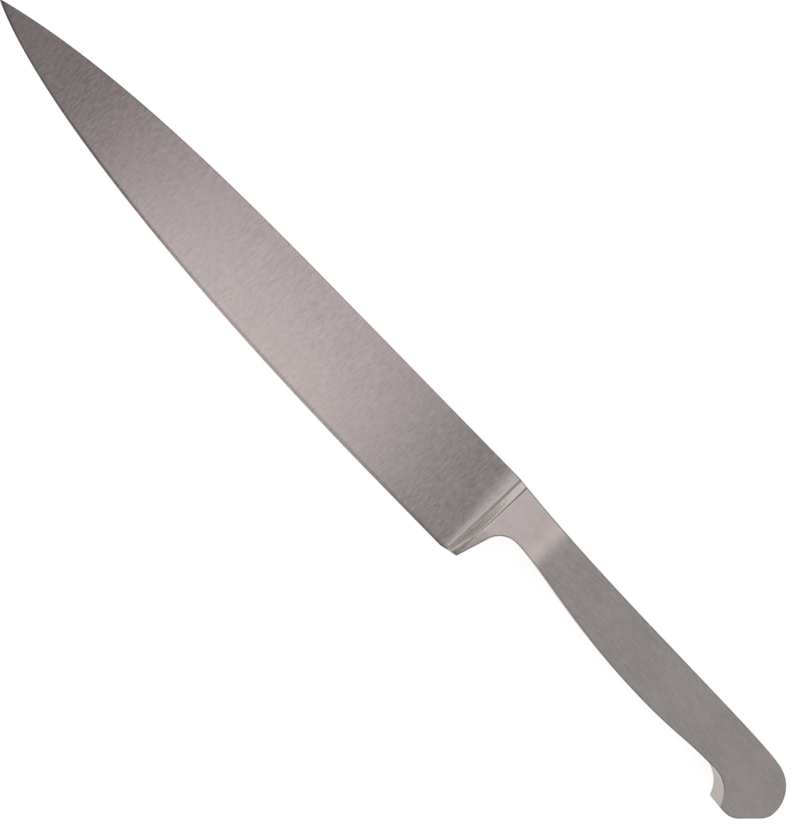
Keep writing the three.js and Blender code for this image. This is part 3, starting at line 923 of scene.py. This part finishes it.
def satin_steel():
    """Bolster, neck and handle: short strokes along the grip, duller behind the bolster."""
    material, tree, shader = start_steel("satin_steel")
    lines = use(tree, LINES, Turn=0.05, Width=0.58, Length=2.6, Seed=5)
    clouds = use(tree, CLOUDS, Size=16, Seed=6)
    scratches = use(tree, SCRATCHES, Turn=0.5, Width=0.14, Length=6, Share=0.12, Seed=7)
    rub = use(tree, RUB, Patch=5, Seed=8)
    shade = weigh(
        tree, (lines["Lines"], 0.55), (lines["Bands"], 0.2), (clouds["Clouds"], 0.25)
    )
    colour = tone(tree, shade, *SATIN_TONES)
    colour = blend(tree, colour, weigh(tree, (scratches["Scratches"], 0.2)), SATIN_SCRATCH_TONE)
    colour = blend(tree, colour, weigh(tree, (rub["Rub"], 0.25)), SATIN_RUB_TONE)
    tree.links.new(colour, shader.inputs["Base Color"])
    roughness = weigh(
        tree, (lines["Lines"], 0.08), (clouds["Clouds"], 0.05), (rub["Rub"], -0.05), (1.0, 0.15),
        (behind_bolster(tree), 0.06),
    )
    tree.links.new(roughness, shader.inputs["Roughness"])
    set_bump(tree, shader, lines["Lines"], strength=0.25, distance=GRAIN_HEIGHT * MM)
    return material


def filler_metal():
    """Braze between tang and scales, ground flush."""
    material, tree, shader = start_steel("filler_metal")
    lines = use(tree, LINES, Turn=0.05, Width=0.28, Length=3.5, Seed=9)
    colour = tone(tree, lines["Lines"], *FILLER_TONES)
    tree.links.new(colour, shader.inputs["Base Color"])
    tree.links.new(
        weigh(tree, (lines["Lines"], 0.1), (1.0, 0.34)), shader.inputs["Roughness"]
    )
    return material


def pin_steel():
    """Hidden dowel pins, ground round."""
    material, tree, shader = start_steel("pin_steel")
    lines = use(tree, LINES, Turn=0, Width=0.2, Length=2, Seed=10)
    colour = tone(tree, lines["Lines"], *PIN_TONES)
    tree.links.new(colour, shader.inputs["Base Color"])
    tree.links.new(
        weigh(tree, (lines["Lines"], 0.12), (1.0, 0.24)), shader.inputs["Roughness"]
    )
    return material


CROSS_GROUND, SATIN, FILLER, PIN = (
    cross_ground_steel(), satin_steel(), filler_metal(), pin_steel()
)


blade = forged_blade()
left_scale = loft_body("left_scale", HANDLE_SECTIONS, outwards, level(SCALE_FLOOR), [SATIN])
right_scale = loft_body("right_scale", HANDLE_SECTIONS, level(-SCALE_FLOOR), downwards, [SATIN])
left_filler = loft_body(
    "left_filler", HANDLE_SECTIONS, level(SCALE_FLOOR), level(TANG_HALF), [FILLER]
)
right_filler = loft_body(
    "right_filler", HANDLE_SECTIONS, level(-TANG_HALF), level(-SCALE_FLOOR), [FILLER]
)

for name in PIN_NAMES:
    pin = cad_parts[name].data
    pin.materials.clear()
    pin.materials.append(PIN)

for body in (blade, left_scale, right_scale, left_filler, right_filler):
    bore_pin_holes(body)
    body.data.shade_smooth()
    body.data.set_sharp_from_angle(angle=CREASE_ANGLE)

for piece, node, finish in (
    (blade, "blade_forging", "blade_steel"),
    (left_scale, "left_handle_scale", "handle_steel"),
    (right_scale, "right_handle_scale", "handle_steel"),
    (left_filler, "left_braze_foil", "braze_filler"),
    (right_filler, "right_braze_foil", "braze_filler"),
):
    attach(piece, "root")
    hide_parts(node)


# Camera straight above the left side, turned so that the tip points to the upper left
CAMERA_PLACE = (0.00605, 0.0029, 0.427)
CAMERA_TURN = radians(45.62)
CAMERA_LENS = 61.2

camera_data = bpy.data.cameras.new("camera")
camera_data.lens = CAMERA_LENS
camera = bpy.data.objects.new("camera", camera_data)
camera.location = CAMERA_PLACE
camera.rotation_euler = (0, 0, CAMERA_TURN)
bpy.context.scene.collection.objects.link(camera)
bpy.context.scene.camera = camera
bpy.context.scene.view_settings.view_transform = "Standard"


# Studio. The floor is lifted to white where the camera sees it, and less in reflections.
FLOOR_COLOUR = (0.82, 0.82, 0.82, 1)
FLOOR_ROUGHNESS = 0.9
FLOOR_REACH = 3.0
FLOOR_HEIGHT = -0.0002
LIFT_DIRECT = 0.7
LIFT_IN_METAL = 0.48


def whitening(tree):
    """Lift that makes a surface white to the camera, and pale in metal and through glass."""
    path = add(tree, "ShaderNodeLightPath").outputs
    return weigh(
        tree, (path["Is Camera Ray"], LIFT_DIRECT), (path["Is Glossy Ray"], LIFT_IN_METAL),
        (path["Is Transmission Ray"], LIFT_IN_METAL),
    )


# Light round the knife by the angle from straight up, in degrees, with its brightness and warmth:
# along the knife from the tip's side to the butt's, and across it from the edge's side to the
# spine's
ALONG = (
    (-90, 1.22, 0), (-70, 1.12, 0), (-58, 0.74, 0), (-48, 0.45, 0.02), (-41, 0.14, 0.06),
    (-30.5, 0.14, 0.06), (-27, 0.47, 0.08), (-19, 0.43, 0.08), (3.5, 0.42, 0.01), (8, 0.53, 0),
    (22, 0.585, 0), (35, 0.47, 0), (55, 0.3, 0), (75, 0.3, 0), (90, 0.6, 0),
)
ACROSS = (
    (-90, 0.6, 0), (-60, 0.2, 0), (-34, 0.25, 0), (-25, 0.65, 0), (-18, 0.95, 0), (-10, 1, 0),
    (20, 1, 0), (45, 0.35, 0), (90, 0.3, 0),
)
# Least light by the upward part of a direction, fading from near the horizon to higher up
HORIZON_LIGHT = 0.5
HORIZON_FADE = (0.35, 0.93)
# Light of the panel above the knife by the place on it, in metres
PANEL_HEIGHT = 1.0
PANEL_ALONG = (
    (-0.483, 0.42, 0.08), (-0.414, 0.51, 0.07), (-0.335, 1.01, 0.06), (-0.26, 1.23, 0.05),
    (-0.081, 1.23, 0.045), (-0.006, 1.06, 0.045), (0.043, 0.75, 0.04), (0.093, 0.42, 0.01),
)
PANEL_ACROSS = (
    (-0.9, 0.75, 0), (-0.5, 0.74, 0), (-0.3, 0.62, 0), (-0.19, 0.9, 0), (-0.13, 1.06, 0),
    (0.02, 0.96, 0), (0.7, 0.96, 0),
)


def band(tree, value, stops):
    """Light along one line, from stops that give place, brightness and warmth."""
    first, last = stops[0][0], stops[-1][0]
    share = add(
        tree, "ShaderNodeMapRange", {"Value": value, "From Min": first, "From Max": last}
    ).outputs[0]
    ramp = add(tree, "ShaderNodeValToRGB", {"Fac": share})
    elements = ramp.color_ramp.elements
    for _ in stops[2:]:
        elements.new(0.5)
    for element, (place, light, warmth) in zip(elements, stops):
        element.position = (place - first) / (last - first)
        element.color = (light, light * (1 - warmth), light * (1 - warmth / 2), 1)
    return ramp.outputs["Color"]


def crossed(tree, along, across):
    return add(tree, "ShaderNodeVectorMath", {0: along, 1: across}, operation="MULTIPLY").outputs[0]


def lean(tree, part):
    """Degrees that a direction leans from straight up, from its part along one axis."""
    angle = add(tree, "ShaderNodeMath", {0: part}, operation="ARCSINE").outputs[0]
    return add(tree, "ShaderNodeMath", {0: angle}, operation="DEGREES").outputs[0]


def banded_surround():
    """Studio of soft bands of light. Looked at directly it is plain white."""
    world = bpy.data.worlds.new("studio")
    bpy.context.scene.world = world
    world.use_nodes = True
    tree = world.node_tree
    direction = add(tree, "ShaderNodeTexCoord").outputs["Generated"]
    part = add(tree, "ShaderNodeSeparateXYZ", {0: direction}).outputs
    bands = crossed(
        tree, band(tree, lean(tree, part["X"]), ALONG), band(tree, lean(tree, part["Y"]), ACROSS)
    )
    low = add(
        tree, "ShaderNodeMapRange",
        {"Value": part["Z"], "From Min": HORIZON_FADE[0], "From Max": HORIZON_FADE[1],
         "To Min": HORIZON_LIGHT, "To Max": 0},
    ).outputs[0]
    light = add(tree, "ShaderNodeVectorMath", {0: bands, 1: low}, operation="MAXIMUM").outputs[0]
    camera_ray = add(tree, "ShaderNodeLightPath").outputs["Is Camera Ray"]
    seen = blend(tree, light, camera_ray, (1, 1, 1, 1))
    tree.links.new(seen, tree.nodes["Background"].inputs["Color"])


def sheet(name, left, right, front, back, height, material):
    """Level sheet that belongs to the studio."""
    corners = [(left, front), (right, front), (right, back), (left, back)]
    mesh = bpy.data.meshes.new(name)
    mesh.from_pydata([(x, y, height) for x, y in corners], [], [(0, 1, 2, 3)])
    mesh.materials.append(material)
    made = bpy.data.objects.new(name, mesh)
    bpy.context.scene.collection.objects.link(made)
    return made


def white_floor():
    material = bpy.data.materials.new("white_floor")
    material.use_nodes = True
    tree = material.node_tree
    shader = tree.nodes["Principled BSDF"]
    shader.inputs["Base Color"].default_value = FLOOR_COLOUR
    shader.inputs["Roughness"].default_value = FLOOR_ROUGHNESS
    shader.inputs["Specular IOR Level"].default_value = 0.0
    shader.inputs["Emission Color"].default_value = (1, 1, 1, 1)
    tree.links.new(whitening(tree), shader.inputs["Emission Strength"])
    sheet("floor", -FLOOR_REACH, FLOOR_REACH, -FLOOR_REACH, FLOOR_REACH, FLOOR_HEIGHT, material)


def light_panel():
    """Panel of light above the knife, which its blade and neck reflect."""
    material = bpy.data.materials.new("light_panel")
    material.use_nodes = True
    tree = material.node_tree
    place = add(tree, "ShaderNodeTexCoord").outputs["Object"]
    part = add(tree, "ShaderNodeSeparateXYZ", {0: place}).outputs
    light = crossed(tree, band(tree, part["X"], PANEL_ALONG), band(tree, part["Y"], PANEL_ACROSS))
    shine = add(tree, "ShaderNodeEmission", {"Color": light}).outputs[0]
    tree.links.new(shine, tree.nodes["Material Output"].inputs["Surface"])
    left, right = PANEL_ALONG[0][0], PANEL_ALONG[-1][0]
    front, back = PANEL_ACROSS[0][0], PANEL_ACROSS[-1][0]
    panel = sheet("panel", left, right, front, back, PANEL_HEIGHT, material)
    panel.visible_camera = False


banded_surround()
light_panel()
white_floor()
